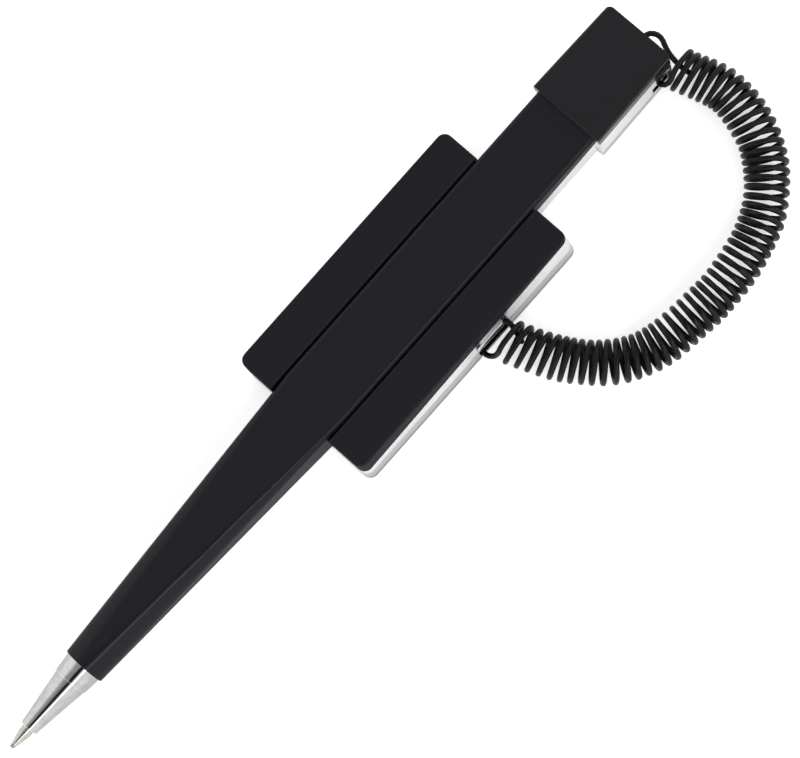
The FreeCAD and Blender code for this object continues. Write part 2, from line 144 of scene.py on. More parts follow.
def hairlines():
    """Mask of long thin scratches that run in three directions; Width is the space that one takes."""
    turns_and_stretches = ((0.35, 0.02), (-0.6, 0.035), (1.35, 0.05))
    half_line = 0.018
    patches_per_metre = 160.0
    sockets = {"Vector": ("NodeSocketVector", None), "Width": ("NodeSocketFloat", 0.0003),
               "Amount": ("NodeSocketFloat", 0.3)}
    group, given, result = effect("hairlines", sockets, {"Mask": "NodeSocketFloat"})
    per_metre = math_node(group, "DIVIDE", 1.0, given.outputs["Width"])
    total = None
    for turn, stretch in turns_and_stretches:
        turned = node(group, "ShaderNodeMapping", {"Vector": given.outputs["Vector"],
                      "Rotation": (turn / 3, turn / 2, turn), "Scale": (stretch, 1.0, 1.0)})
        lines = noise(group, turned.outputs[0], per_metre, Detail=0.0)
        near_middle = math_node(group, "ABSOLUTE", math_node(group, "SUBTRACT", lines, 0.5))
        one = ramp(group, near_middle, 0.0, half_line, 1.0, 0.0)
        total = one if total is None else math_node(group, "MAXIMUM", total, one)
    here = ramp(group, noise(group, given.outputs["Vector"], patches_per_metre), 0.45, 0.65)
    kept = math_node(group, "MULTIPLY", math_node(group, "MULTIPLY", total, here), given.outputs["Amount"])
    group.links.new(kept, result.inputs["Mask"])
    return group


def handling_film():
    """Mask of the uneven film that fingers leave; Size is the width of a smear."""
    sockets = {"Vector": ("NodeSocketVector", None), "Size": ("NodeSocketFloat", 0.012)}
    group, given, result = effect("handling_film", sockets, {"Mask": "NodeSocketFloat"})
    per_metre = math_node(group, "DIVIDE", 1.0, given.outputs["Size"])
    smears = noise(group, given.outputs["Vector"], per_metre, Detail=5.0, Roughness=0.62, Distortion=0.8)
    group.links.new(ramp(group, smears, 0.42, 0.7), result.inputs["Mask"])
    return group


def edge_wear_and_highlight():
    """Mask that is 1 along a hard edge and fades out over Radius."""
    sockets = {"Radius": ("NodeSocketFloat", 0.0003)}
    group, given, result = effect("edge_wear_and_highlight", sockets, {"Mask": "NodeSocketFloat"})
    soft = node(group, "ShaderNodeBevel", {"Radius": given.outputs["Radius"]}, samples=6)
    hard = node(group, "ShaderNodeNewGeometry")
    match = node(group, "ShaderNodeVectorMath", {0: soft.outputs[0], 1: hard.outputs["Normal"]},
                 operation="DOT_PRODUCT")
    group.links.new(ramp(group, match.outputs["Value"], 0.98, 0.80), result.inputs["Mask"])
    return group


def settled_dust():
    """Mask of fine specks that lie on upward faces; Amount is how strongly they show."""
    specks_per_metre = 900.0
    patches_per_metre = 420.0
    sockets = {"Vector": ("NodeSocketVector", None), "Amount": ("NodeSocketFloat", 0.1)}
    group, given, result = effect("settled_dust", sockets, {"Mask": "NodeSocketFloat"})
    specks = node(group, "ShaderNodeTexVoronoi", {"Vector": given.outputs["Vector"],
                  "Scale": specks_per_metre})
    small = ramp(group, specks.outputs["Distance"], 0.05, 0.11, 1.0, 0.0)
    some = ramp(group, noise(group, given.outputs["Vector"], patches_per_metre), 0.60, 0.68)
    facing = node(group, "ShaderNodeNewGeometry")
    up = node(group, "ShaderNodeSeparateXYZ", {0: facing.outputs["Normal"]})
    lying = ramp(group, up.outputs["Z"], 0.5, 0.9)
    mask = math_node(group, "MULTIPLY", math_node(group, "MULTIPLY", small, some), lying)
    mask = math_node(group, "MULTIPLY", mask, given.outputs["Amount"])
    group.links.new(mask, result.inputs["Mask"])
    return group


ripple_effect = moulding_ripple()
hairline_effect = hairlines()
film_effect = handling_film()
edge_wear_and_highlight_effect = edge_wear_and_highlight()
dust_effect = settled_dust()


def new_material(name, **plain):
    """A material's tree and its shader, with the values that are the same all over."""
    material = bpy.data.materials.new(name)
    material.use_nodes = True
    tree = material.node_tree
    shader = tree.nodes["Principled BSDF"]
    for label, value in plain.items():
        shader.inputs[label.replace("_", " ")].default_value = value
    return material, tree, shader


def finish(tree, shader, colour, roughness, normal):
    """Links what changes over the surface to the shader."""
    for label, value in (("Base Color", colour), ("Roughness", roughness), ("Normal", normal)):
        tree.links.new(value, shader.inputs[label])


def use(tree, group, **inputs):
    """A shader node group placed in a material; returns its first output."""
    placed = node(tree, "ShaderNodeGroup", node_tree=group)
    for label, value in inputs.items():
        if isinstance(value, bpy.types.NodeSocket):
            tree.links.new(value, placed.inputs[label])
        else:
            placed.inputs[label].default_value = value
    return placed.outputs[0]


def blend_colour(tree, mask, first, second):
    """The first colour where the mask is 0 and the second where it is 1."""
    mix = node(tree, "ShaderNodeMix", data_type="RGBA")
    for index, value in ((0, mask), (6, first), (7, second)):
        if isinstance(value, bpy.types.NodeSocket):
            tree.links.new(value, mix.inputs[index])
        else:
            mix.inputs[index].default_value = value
    return mix.outputs[2]


def bump(tree, height, depth, below=None):
    """A normal from a height of 0 to 1 that is depth metres high, on top of another normal."""
    inputs = {"Height": height, "Distance": depth, "Strength": 1.0}
    if below is not None:
        inputs["Normal"] = below
    return node(tree, "ShaderNodeBump", inputs).outputs[0]


def polished_plating(name, colour, roughness, film, edge_radius, ripple):
    """Bright plating with ripple, hairlines, a film, rubbed edges and two steps of painted shade low down.
    """
    material, tree, shader = new_material(name, Metallic=1.0, Coat_Weight=0.0)
    place = object_place(tree)
    smear = use(tree, film_effect, Vector=place, Size=film_size)
    scratch = use(tree, hairline_effect, Vector=place, Width=hairline_width, Amount=hairline_amount)
    edge_wear_and_highlight_mask = use(tree, edge_wear_and_highlight_effect, Radius=edge_radius * 2)
    dark = tuple(channel * film_tint for channel in colour[:3]) + (1,)
    tinted = blend_colour(tree, smear, colour, dark)
    # the two greys laid on by height are painted shade, standing for the darker reflection near the counter
    height = node(tree, "ShaderNodeSeparateXYZ", {0: place}).outputs["Z"]
    halfway = ramp(tree, height, painted_middle_shade_top, painted_middle_shade_bottom)
    tinted = blend_colour(tree, halfway, tinted, painted_middle_shade)
    low_down = ramp(tree, height, painted_low_shade_top, painted_low_shade_bottom)
    tinted = blend_colour(tree, low_down, tinted, painted_low_shade)
    tinted = blend_colour(tree, edge_wear_and_highlight_mask, tinted, rubbed_plating)
    gloss = ramp(tree, smear, 0.0, 1.0, roughness, film)
    gloss = math_node(tree, "ADD", gloss, math_node(tree, "MULTIPLY", scratch, hairline_roughness))
    rounded = node(tree, "ShaderNodeBevel", {"Radius": edge_radius}, samples=6).outputs[0]
    waves = use(tree, ripple_effect, Vector=place, Size=ripple, Peel=ripple_peel)
    surface = bump(tree, scratch, -hairline_depth, bump(tree, waves, ripple_depth, rounded))
    finish(tree, shader, tinted, gloss, surface)
    return material


def dress(names, material):
    """Gives the CAD nodes of these names a material."""
    for name in names:
        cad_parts[name].data.materials.clear()
        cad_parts[name].data.materials.append(material)


shell_plating = polished_plating("shell_plating", plated_colour, plated_roughness, film_roughness,
                                 plated_edge_radius, ripple_size)
dress(["holder_base"], shell_plating)

# ---- foam pad and its liner ---------------------------------------------------------------------
# White closed-cell foam tape, die cut, sticks the tray to the counter. Its cut sides bulge a little
# between the tray and the waxed paper liner, which is peeled off when the holder is put in place.

pad_low, pad_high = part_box("adhesive_pad")
pad_corner = 0.0016
pad_bulge = 0.00007
pad_levels = 8
corner_steps = 10
foam_white = (0.80, 0.79, 0.75, 1)
foam_shade = (0.62, 0.61, 0.57, 1)
foam_cells_per_metre = 5200.0
foam_cell_depth = 0.00004
paper_cream = (0.86, 0.82, 0.70, 1)
paper_shade = (0.76, 0.71, 0.58, 1)
paper_fibres_per_metre = 1400.0
paper_fibre_depth = 0.00001


def rounded_outline(low, high, radius, inset):
    """Points round a rectangle with rounded corners, anticlockwise from above."""
    points = []
    corners = ((high.x, high.y), (low.x, high.y), (low.x, low.y), (high.x, low.y))
    for quarter, (x, y) in enumerate(corners):
        side_x = 1 if x == high.x else -1
        side_y = 1 if y == high.y else -1
        middle = Vector((x - side_x * radius, y - side_y * radius))
        for step in range(corner_steps + 1):
            turn = math.pi / 2 * (quarter + step / corner_steps)
            reach = radius - inset
            points.append(middle + reach * Vector((math.cos(turn), math.sin(turn))))
    return points


def scene_object(name, data):
    """A new object at the origin for a mesh, a curve or a camera."""
    made = bpy.data.objects.new(name, data)
    bpy.context.scene.collection.objects.link(made)
    return made


def mesh_object(name, build, smooth=True):
    """A new object at the origin whose mesh is filled in by build(bmesh)."""
    shape = bmesh.new()
    build(shape)
    bmesh.ops.recalc_face_normals(shape, faces=shape.faces)
    mesh = bpy.data.meshes.new(name)
    shape.to_mesh(mesh)
    shape.free()
    for face in mesh.polygons:
        face.use_smooth = smooth
    return scene_object(name, mesh)


def foam_block(shape):
    """The pad: rings from the bottom to the top, widest half way up, closed above and below."""
    rings = []
    for level in range(pad_levels + 1):
        share = level / pad_levels
        inset = pad_bulge * (1 - math.sin(math.pi * share))
        height = pad_low.z + (pad_high.z - pad_low.z) * share
        outline = rounded_outline(pad_low, pad_high, pad_corner, inset)
        rings.append([shape.verts.new((point.x, point.y, height)) for point in outline])
    for lower, upper in zip(rings, rings[1:]):
        for index, corner in enumerate(lower):
            following = (index + 1) % len(lower)
            shape.faces.new((corner, lower[following], upper[following], upper[index]))
    shape.faces.new(rings[-1])
    shape.faces.new(rings[0][::-1])


foam_pad = mesh_object("foam_pad", foam_block)
foam, foam_tree, foam_shader = new_material("foam", Sheen_Weight=0.2)
foam_cells = node(foam_tree, "ShaderNodeTexVoronoi", {"Vector": object_place(foam_tree),
                  "Scale": foam_cells_per_metre})
foam_walls = ramp(foam_tree, foam_cells.outputs["Distance"], 0.15, 0.55)
finish(foam_tree, foam_shader, blend_colour(foam_tree, foam_walls, foam_shade, foam_white),
       ramp(foam_tree, foam_walls, 0, 1, 0.95, 0.75), bump(foam_tree, foam_walls, foam_cell_depth))
foam_pad.data.materials.append(foam)
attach(foam_pad, "holder")
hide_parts("adhesive_pad")

paper, paper_tree, paper_shader = new_material("waxed_paper")
paper_fibres = noise(paper_tree, object_place(paper_tree), paper_fibres_per_metre, Detail=6.0,
                     Roughness=0.7)
paper_mask = ramp(paper_tree, paper_fibres, 0.35, 0.65)
finish(paper_tree, paper_shader, blend_colour(paper_tree, paper_mask, paper_shade, paper_cream),
       ramp(paper_tree, paper_fibres, 0.3, 0.7, 0.38, 0.6),
       bump(paper_tree, paper_fibres, paper_fibre_depth))
dress(["release_liner"], paper)

# ---- cord pin and rail screws -------------------------------------------------------------------
# A drawn steel pin crosses the window in the tray's side. Four self-tapping screws come up through
# the tray's floor into the rails; their threads are rolled and cut into the rails' bosses.

steel_colour = (0.56, 0.56, 0.57, 1)
steel_dark = (0.40, 0.40, 0.41, 1)
pin_lines = (300, 9000, 9000)
pin_roughness = 0.24
zinc_colour = (0.60, 0.60, 0.58, 1)
zinc_dark = (0.45, 0.45, 0.42, 1)
zinc_grain = (2600, 2600, 2600)
zinc_roughness = 0.30
drawn_edge_radius = 0.00006
drawn_line_depth = 0.000002
drawn_line_roughness = 0.12
thread_pitch = 0.0006
thread_ridge = 0.00022
thread_steps = 28
screw_core = 0.00080
screw_inset = 0.0001


def drawn_metal(name, colour, shade, stretch, roughness):
    """Metal with faint lines along its drawing direction; stretch is the lines' shape along X, Y, Z."""
    material, tree, shader = new_material(name, Metallic=1.0)
    along = node(tree, "ShaderNodeMapping", {"Vector": object_place(tree), "Scale": stretch}).outputs[0]
    mask = ramp(tree, noise(tree, along, 1.0, Detail=4.0), 0.3, 0.7)
    rounded = node(tree, "ShaderNodeBevel", {"Radius": drawn_edge_radius}, samples=4).outputs[0]
    finish(tree, shader, blend_colour(tree, mask, shade, colour),
           ramp(tree, mask, 0, 1, roughness + drawn_line_roughness, roughness),
           bump(tree, mask, drawn_line_depth, rounded))
    return material


pin_steel = drawn_metal("pin_steel", steel_colour, steel_dark, pin_lines, pin_roughness)
screw_zinc = drawn_metal("screw_zinc", zinc_colour, zinc_dark, zinc_grain, zinc_roughness)
dress(["cord_pin"], pin_steel)
dress(["rail_screws"], screw_zinc)


def thread_tree():
    """Geometry Nodes: a helical ridge on each point of the mesh that it is given."""
    tree = bpy.data.node_groups.new("helical_thread", "GeometryNodeTree")
    sockets = (("Places", "NodeSocketGeometry", None), ("Core Radius", "NodeSocketFloat", 0.0008),
               ("Ridge", "NodeSocketFloat", 0.0002), ("Pitch", "NodeSocketFloat", 0.0006),
               ("Turns", "NodeSocketFloat", 8.0), ("Direction", "NodeSocketVector", (0, 0, 0)),
               ("Finish", "NodeSocketMaterial", None))
    for label, kind, value in sockets:
        socket = tree.interface.new_socket(label, in_out="INPUT", socket_type=kind)
        if value is not None:
            socket.default_value = value
    tree.interface.new_socket("Thread", in_out="OUTPUT", socket_type="NodeSocketGeometry")
    given = tree.nodes.new("NodeGroupInput").outputs
    height = math_node(tree, "MULTIPLY", given["Pitch"], given["Turns"])
    spiral = node(tree, "GeometryNodeCurveSpiral", {"Resolution": thread_steps,
                  "Rotations": given["Turns"], "Start Radius": given["Core Radius"],
                  "End Radius": given["Core Radius"], "Height": height})
    section = node(tree, "GeometryNodeCurvePrimitiveCircle", {"Resolution": 6, "Radius": given["Ridge"]})
    ridge = node(tree, "GeometryNodeCurveToMesh", {"Curve": spiral.outputs[0],
                 "Profile Curve": section.outputs[0], "Fill Caps": True})
    placed = node(tree, "GeometryNodeInstanceOnPoints", {"Points": given["Places"],
                  "Instance": ridge.outputs[0], "Rotation": given["Direction"]})
    solid = node(tree, "GeometryNodeRealizeInstances", {"Geometry": placed.outputs[0]})
    coated = node(tree, "GeometryNodeSetMaterial", {"Geometry": solid.outputs[0],
                  "Material": given["Finish"]})
    end = tree.nodes.new("NodeGroupOutput")
    tree.links.new(coated.outputs[0], end.inputs[0])
    return tree


thread_nodes = thread_tree()


def threads(name, places, values):
    """The threads at these places as one plain mesh; values are the tree's inputs by name."""
    mesh = bpy.data.meshes.new(name)
    mesh.from_pydata([tuple(place) for place in places], [], [])
    maker = scene_object(name + "_places", mesh)
    modifier = maker.modifiers.new("thread", "NODES")
    modifier.node_group = thread_nodes
    for item in thread_nodes.interface.items_tree:
        if item.in_out == "INPUT" and item.name in values:
            modifier[item.identifier] = values[item.name]
    evaluated = maker.evaluated_get(bpy.context.evaluated_depsgraph_get())
    plain = bpy.data.meshes.new_from_object(evaluated)
    for face in plain.polygons:
        face.use_smooth = True
    bpy.data.objects.remove(maker)
    return scene_object(name, plain)


screw_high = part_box("rail_screws")[1]
screw_head_radius = 0.0017
thread_above_pad = 0.0010
plain_tip_turns = 0.8
thread_start = pad_high.z + thread_above_pad
screw_x = screw_high.x - screw_head_radius
screw_y = screw_high.y - screw_head_radius
screw_places = [(x, y, thread_start) for x in (-screw_x, screw_x) for y in (-screw_y, screw_y)]
screw_turns = (screw_high.z - thread_start) / thread_pitch - plain_tip_turns
screw_threads = threads("screw_threads", screw_places, {
    "Core Radius": screw_core - screw_inset, "Ridge": thread_ridge, "Pitch": thread_pitch,
    "Turns": screw_turns, "Direction": (0, 0, 0), "Finish": screw_zinc})
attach(screw_threads, "holder")

# ---- rails, barrel and cap covers ---------------------------------------------------------------
# The rails, the barrel's upper half and the cap's cover are moulded in one black plastic. All have
# hairlines and dust, edges painted greyer as highlight lines with a little wear, and each has its own share
# of a dull black mixed in.

black = (0.0042, 0.0042, 0.0052, 1)
black_film = (0.0062, 0.0062, 0.0074, 1)
black_edge_highlight = (0.020, 0.020, 0.023, 1)
matt_black = (0.0165, 0.0162, 0.0200, 1)
matt_edge_highlight = (0.24, 0.24, 0.25, 1)
dust_grey = (0.20, 0.20, 0.19, 1)
black_roughness = 0.11
black_film_roughness = 0.07
black_film_size = 0.014
black_ripple = 0.006
long_ripple = black_ripple * 1.4
black_ripple_depth = 0.000004
black_ripple_peel = 0.06
black_line_width = 0.0003
black_line_amount = 0.6
black_line_roughness = 0.10
black_line_depth = 0.000001
black_edge_radius = 0.00009
edge_highlight_width = 0.00016
edge_highlight_amount = 0.5
dull_edge_highlight_amount = 0.6
dust_amount = 0.25
dust_roughness = 0.5
rail_matt = 0.88
barrel_matt = 0.74
cap_matt = 0.25


def piano_black(name, ripple, roughness, matt):
    """Polished black moulding; matt is the share of plain dull black that is mixed into it."""
    material, tree, shader = new_material(name, IOR=1.50, Coat_Weight=0.0)
    place = object_place(tree)
    smear = use(tree, film_effect, Vector=place, Size=black_film_size)
    scratch = use(tree, hairline_effect, Vector=place, Width=black_line_width, Amount=black_line_amount)
    edge_wear_and_highlight_mask = use(tree, edge_wear_and_highlight_effect, Radius=edge_highlight_width)
    dust = use(tree, dust_effect, Vector=place, Amount=dust_amount)
    colour = blend_colour(tree, smear, black, black_film)
    # edges painted lighter: a little wear, mostly a painted highlight line along each edge
    colour = blend_colour(tree, math_node(tree, "MULTIPLY", edge_wear_and_highlight_mask, edge_highlight_amount), colour, black_edge_highlight)
    colour = blend_colour(tree, dust, colour, dust_grey)
    gloss = ramp(tree, smear, 0, 1, roughness, roughness + black_film_roughness)
    gloss = math_node(tree, "ADD", gloss, math_node(tree, "MULTIPLY", scratch, black_line_roughness))
    gloss = math_node(tree, "ADD", gloss, math_node(tree, "MULTIPLY", dust, dust_roughness))
    rounded = node(tree, "ShaderNodeBevel", {"Radius": black_edge_radius}, samples=6).outputs[0]
    waves = use(tree, ripple_effect, Vector=place, Size=ripple, Peel=black_ripple_peel)
    surface = bump(tree, scratch, -black_line_depth, bump(tree, waves, black_ripple_depth, rounded))
    finish(tree, shader, colour, gloss, surface)
    # the dull layer's edges are painted much lighter grey, a painted highlight line
    dull_edge_highlight = math_node(tree, "MULTIPLY", edge_wear_and_highlight_mask, dull_edge_highlight_amount)
    dull_colour = blend_colour(tree, dull_edge_highlight, matt_black, matt_edge_highlight)
    dull = node(tree, "ShaderNodeBsdfDiffuse", {"Color": dull_colour, "Normal": surface}).outputs[0]
    both = node(tree, "ShaderNodeMixShader", {0: matt, 1: shader.outputs[0], 2: dull}).outputs[0]
    tree.links.new(both, tree.nodes["Material Output"].inputs["Surface"])
    return material


rail_black = piano_black("rail_black", black_ripple, black_roughness, rail_matt)
barrel_black = piano_black("barrel_black", long_ripple, black_roughness, barrel_matt)
cap_black = piano_black("cap_black", long_ripple, black_roughness, cap_matt)
dress(["rail_left", "rail_right"], rail_black)

# ---- refill -------------------------------------------------------------------------------------
# A ball-pen refill: a turned nickel-silver point with a carbide ball, a moulded adapter, and a
# polypropylene tube that holds the ink paste and the clear grease that follows it.

point_silver = (0.56, 0.55, 0.52, 1)
point_dark = (0.42, 0.41, 0.38, 1)
point_lines = (14000, 600, 600)
point_roughness = 0.16
ball_grey = (0.40, 0.40, 0.41, 1)
ball_dark = (0.30, 0.30, 0.31, 1)
ball_grain = (9000, 9000, 9000)
ball_roughness = 0.12
adapter_cream = (0.74, 0.70, 0.58, 1)
adapter_shade = (0.66, 0.61, 0.48, 1)
adapter_roughness, adapter_grain = 0.42, 0.002
tube_clear = (0.86, 0.88, 0.90, 1)
tube_shade = (0.80, 0.83, 0.86, 1)
tube_roughness, tube_grain, tube_see_through = 0.22, 0.003, 0.7
ink_blue = (0.020, 0.030, 0.200, 1)
ink_deep = (0.010, 0.014, 0.110, 1)
ink_roughness, ink_grain = 0.25, 0.004
grease_yellow = (0.84, 0.80, 0.56, 1)
grease_shade = (0.76, 0.70, 0.44, 1)
grease_roughness, grease_grain, grease_see_through = 0.20, 0.002, 0.4
flow_roughness = 0.08
grain_to_depth = 60

point_metal = drawn_metal("point_metal", point_silver, point_dark, point_lines, point_roughness)
ball_carbide = drawn_metal("ball_carbide", ball_grey, ball_dark, ball_grain, ball_roughness)
dress(["refill_point"], point_metal)
dress(["writing_ball"], ball_carbide)


def soft_plastic(name, colour, shade, roughness, grain, see_through=0.0):
    """A plain unpolished plastic or paste, mottled by its flow; grain is the size of the mottling."""
    material, tree, shader = new_material(name, IOR=1.49, Transmission_Weight=see_through)
    flow = noise(tree, object_place(tree), 1 / grain, Detail=4.0, Distortion=0.6)
    mask = ramp(tree, flow, 0.35, 0.65)
    finish(tree, shader, blend_colour(tree, mask, shade, colour),
           ramp(tree, mask, 0, 1, roughness + flow_roughness, roughness),
           bump(tree, flow, grain / grain_to_depth))
    return material


adapter_nylon = soft_plastic("adapter_nylon", adapter_cream, adapter_shade, adapter_roughness,
                             adapter_grain)
clear_tube = soft_plastic("tube_clear", tube_clear, tube_shade, tube_roughness, tube_grain,
                          tube_see_through)
ink_paste = soft_plastic("ink_paste", ink_blue, ink_deep, ink_roughness, ink_grain)
follower_grease = soft_plastic("follower_grease", grease_yellow, grease_shade, grease_roughness,
                               grease_grain, grease_see_through)
dress(["refill_adapter"], adapter_nylon)
dress(["refill_tube"], clear_tube)
dress(["ink"], ink_paste)
dress(["grease_plug"], follower_grease)

# ---- nose ---------------------------------------------------------------------------------------
# The nose is turned from brass, polished and nickel plated, and screws into a brass sleeve in the
# barrel. The lathe leaves rings that the plating doesn't quite hide; the thread is left bare.

nose_colour = (0.52, 0.52, 0.51, 1)
nose_dark = (0.40, 0.40, 0.39, 1)
nose_edge = (0.80, 0.80, 0.78, 1)
nose_rings = (7000, 40, 40)
nose_ring_depth = 0.0000012
nose_roughness = 0.055
nose_film_roughness = 0.15
nose_film_size = 0.005
nose_edge_radius = 0.0001
brass_colour = (0.74, 0.55, 0.25, 1)
brass_dark = (0.58, 0.41, 0.17, 1)
brass_lines = (9000, 700, 700)
brass_roughness = 0.22
bush_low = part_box("nose_bush")[0]
nose_low, nose_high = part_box("nose_cone")
nose_thread_pitch = 0.0010
nose_thread_core = 0.00225
nose_thread_ridge = 0.00030
nose_thread_inset = 0.00012
nose_axis = (nose_low.z + nose_high.z) / 2

turned_nickel, turned_tree, turned_shader = new_material("turned_nickel", Metallic=1.0)
turned_place = object_place(turned_tree)
lathe = node(turned_tree, "ShaderNodeMapping", {"Vector": turned_place, "Scale": nose_rings}).outputs[0]
lathe_rings = noise(turned_tree, lathe, 1.0, Detail=2.0)
turned_film = use(turned_tree, film_effect, Vector=turned_place, Size=nose_film_size)
turned_edges = use(turned_tree, edge_wear_and_highlight_effect, Radius=nose_edge_radius * 2)
turned_colour = blend_colour(turned_tree, turned_film, nose_colour, nose_dark)
turned_round = node(turned_tree, "ShaderNodeBevel", {"Radius": nose_edge_radius}, samples=6).outputs[0]
finish(turned_tree, turned_shader, blend_colour(turned_tree, turned_edges, turned_colour, nose_edge),
       ramp(turned_tree, turned_film, 0, 1, nose_roughness, nose_film_roughness),
       bump(turned_tree, lathe_rings, nose_ring_depth, turned_round))
dress(["nose_cone"], turned_nickel)

bare_brass = drawn_metal("bare_brass", brass_colour, brass_dark, brass_lines, brass_roughness)
dress(["nose_bush"], bare_brass)

nose_thread_turns = (nose_high.x - bush_low.x) / nose_thread_pitch - 1.0
nose_thread = threads("nose_thread", [(bush_low.x + nose_thread_pitch / 2, 0, nose_axis)], {
    "Core Radius": nose_thread_core - nose_thread_inset, "Ridge": nose_thread_ridge,
    "Pitch": nose_thread_pitch, "Turns": nose_thread_turns, "Direction": (0, math.pi / 2, 0),
    "Finish": bare_brass})
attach(nose_thread, "nose")

# ---- barrel and cap -----------------------------------------------------------------------------
# The barrel is a black half over a plated half, snapped together along a sloping seam; a plug glued
# into its rear carries the cap, which is again a black cover over a plated shell.

plug_grey = (0.045, 0.045, 0.050, 1)
plug_dark = (0.030, 0.030, 0.034, 1)
plug_roughness, plug_grain = 0.48, 0.003

dress(["barrel_upper"], barrel_black)
dress(["cap_upper"], cap_black)
dress(["barrel_lower", "cap_lower"], shell_plating)
dress(["rear_plug"], soft_plastic("plug_moulding", plug_grey, plug_dark, plug_roughness, plug_grain))

# ---- curly cord ---------------------------------------------------------------------------------
# The cord is a 1 mm black extruded plastic line, wound hot on a mandrel so that it stays coiled.
# One end is hooked round the steel pin in the window, the other through two holes in the cap.

wire_diameter = 0.0010
turn_radius = 0.0035
turns = 54.13
steps_per_turn = 30
hook_steps = 120
sides = 12
dome_rings = ((0.8, 0.3), (0.35, 0.47))
first_turn = math.radians(120)
coil_lean = 0.0006
coil_lean_cap = 0.0005
lean_fades = 9
coil_lies_over = 0.00028
spacing_waves = ((0.07, 41, 0), (0.05, 97, 1))
wide_by_holder, wide_fades = 0.16, 14
close_by_cap, close_fades = 0.18, 12
width_wave, width_rate, width_phase = 0.012, 61, 2
tie_in = 3
pin_low, pin_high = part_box("cord_pin")
cap_low, cap_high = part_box("cap_lower")
cap_taper = 0.00035
cap_holes_height = 0.0062
pin_middle = (pin_low + pin_high) / 2
under_pin = Vector((pin_middle.x, pin_middle.y, 0))
under_corner = Vector((cap_high.x, cap_low.y + cap_taper, 0))
corner_at_holes = under_corner + Vector((0, 0, cap_holes_height))

# the coil's middle line: by the holder, from the counter under the pin's middle
coil_by_holder = [
    (0.0009, -0.0027, 0.00405),
    (0.0028, -0.0082, 0.00405),
    (0.0056, -0.0138, 0.00405),
    (0.0101, -0.0193, 0.00405),
    (0.0162, -0.0227, 0.00405),
    (0.0234, -0.0237, 0.00405),
    (0.0308, -0.0243, 0.00405),
    (0.0381, -0.0235, 0.00405),
    (0.0447, -0.0216, 0.00405),
]

# and by the cap, from the counter under the cap's rear corner
coil_by_cap = [
    (-0.0044, -0.0247, 0.00405),
    (-0.0002, -0.0199, 0.00405),
    (0.0021, -0.01415, 0.0041),
    (0.0028, -0.00935, 0.0042),
    (0.00225, -0.00615, 0.00425),
    (0.0012, -0.00295, 0.0043),
    (0.0004, -0.00025, 0.0043),
]

# the end hooked round the pin, from the pin's middle
holder_turn = [
    (0.0024, -0.0047, -0.0001),
    (0.0031, -0.0027, 0.0007),
    (0.0035, -0.001, 0.0014),
    (0.0023, 0.0011, 0.0012),
    (0.0, 0.0015, 0.0),
    (-0.0024, 0.001, -0.0013),
    (-0.0034, -0.0008, -0.0019),
    (-0.0028, -0.0026, -0.0011),
    (-0.0018, -0.0033, 0.0009),
]

# the end hooked through the cap, from its rear corner at the holes' height
cap_turn = [
    (-0.003, -0.00145, 0.0004),
    (-0.004, -0.00015, 0.0),
    (-0.0038, 0.00205, -0.0002),
    (-0.0027, 0.00465, -0.0002),
    (-0.0008, 0.00685, -0.0001),
    (0.0013, 0.00765, 0.0001),
    (0.0026, 0.00545, 0.0004),
    (0.00125, 0.0029, 0.0007),
    (0.0008, 0.0011, 0.0006),
    (0.00065, -0.001, 0.0),
    (0.001, -0.00295, -0.0008),
]


def smooth_line(points):
    """Points read from the smooth NURBS line that has these control points."""
    curve = bpy.data.curves.new("line", "CURVE")
    curve.dimensions = "3D"
    curve.resolution_u = 16
    spline = curve.splines.new("NURBS")
    spline.points.add(len(points) - 1)
    for knot, place in zip(spline.points, points):
        knot.co = (place[0], place[1], place[2], 1)
    spline.order_u = 3
    spline.use_endpoint_u = True
    carrier = scene_object("line", curve)
    read = bpy.data.meshes.new_from_object(carrier.evaluated_get(bpy.context.evaluated_depsgraph_get()))
    line = np.array([vertex.co[:] for vertex in read.vertices])
    bpy.data.objects.remove(carrier)
    bpy.data.meshes.remove(read)
    return line


def lengths_along(line):
    """The distance of each point from the line's start."""
    return np.concatenate(([0.0], np.cumsum(np.linalg.norm(np.diff(line, axis=0), axis=1))))


def at(line, distances):
    """The points of a line at these distances from its start."""
    known = lengths_along(line)
    return np.stack([np.interp(distances, known, line[:, axis]) for axis in range(3)], axis=1)


def directions(line):
    """The unit direction of a line at each of its points."""
    along = np.gradient(line, axis=0)
    return along / np.linalg.norm(along, axis=1)[:, None]


def wound(middle_line):
    """The coil round its middle line; its turns aren't quite alike, and they lean near its ends."""
    count = round(turns * steps_per_turn) + 1
    share = np.linspace(0, 1, count)
    spacing = np.ones(count)
    for size, rate, phase in spacing_waves:
        spacing += size * np.sin(share * rate + phase)
    spacing += wide_by_holder * np.exp(-share * wide_fades)
    spacing -= close_by_cap * np.exp(-(1 - share) * close_fades)
    travelled = np.concatenate(([0.0], np.cumsum((spacing[1:] + spacing[:-1]) / 2)))
    middles = at(middle_line, travelled / travelled[-1] * lengths_along(middle_line)[-1])
    forward = directions(middles)
    across = np.cross(np.array([0.0, 0.0, 1.0]), forward)
    across /= np.linalg.norm(across, axis=1)[:, None]
    over = np.cross(forward, across)
    angle = first_turn - 2 * math.pi * turns * share
    radius = turn_radius * (1 + width_wave * np.sin(share * width_rate + width_phase))
    ring = np.cos(angle)[:, None] * across + np.sin(angle)[:, None] * over
    lean = coil_lean * np.exp(-share * lean_fades) + coil_lean_cap * np.exp(-(1 - share) * lean_fades)
    lean *= np.cos(angle)
    lies_over = np.sin(angle)[:, None] * np.array([0.0, -coil_lies_over, 0.0])
    return middles + ring * radius[:, None] + forward * lean[:, None] + lies_over


def from_point(origin, points):
    """Points given from an origin, in the part's own frame."""
    return [tuple(origin + Vector(point)) for point in points]


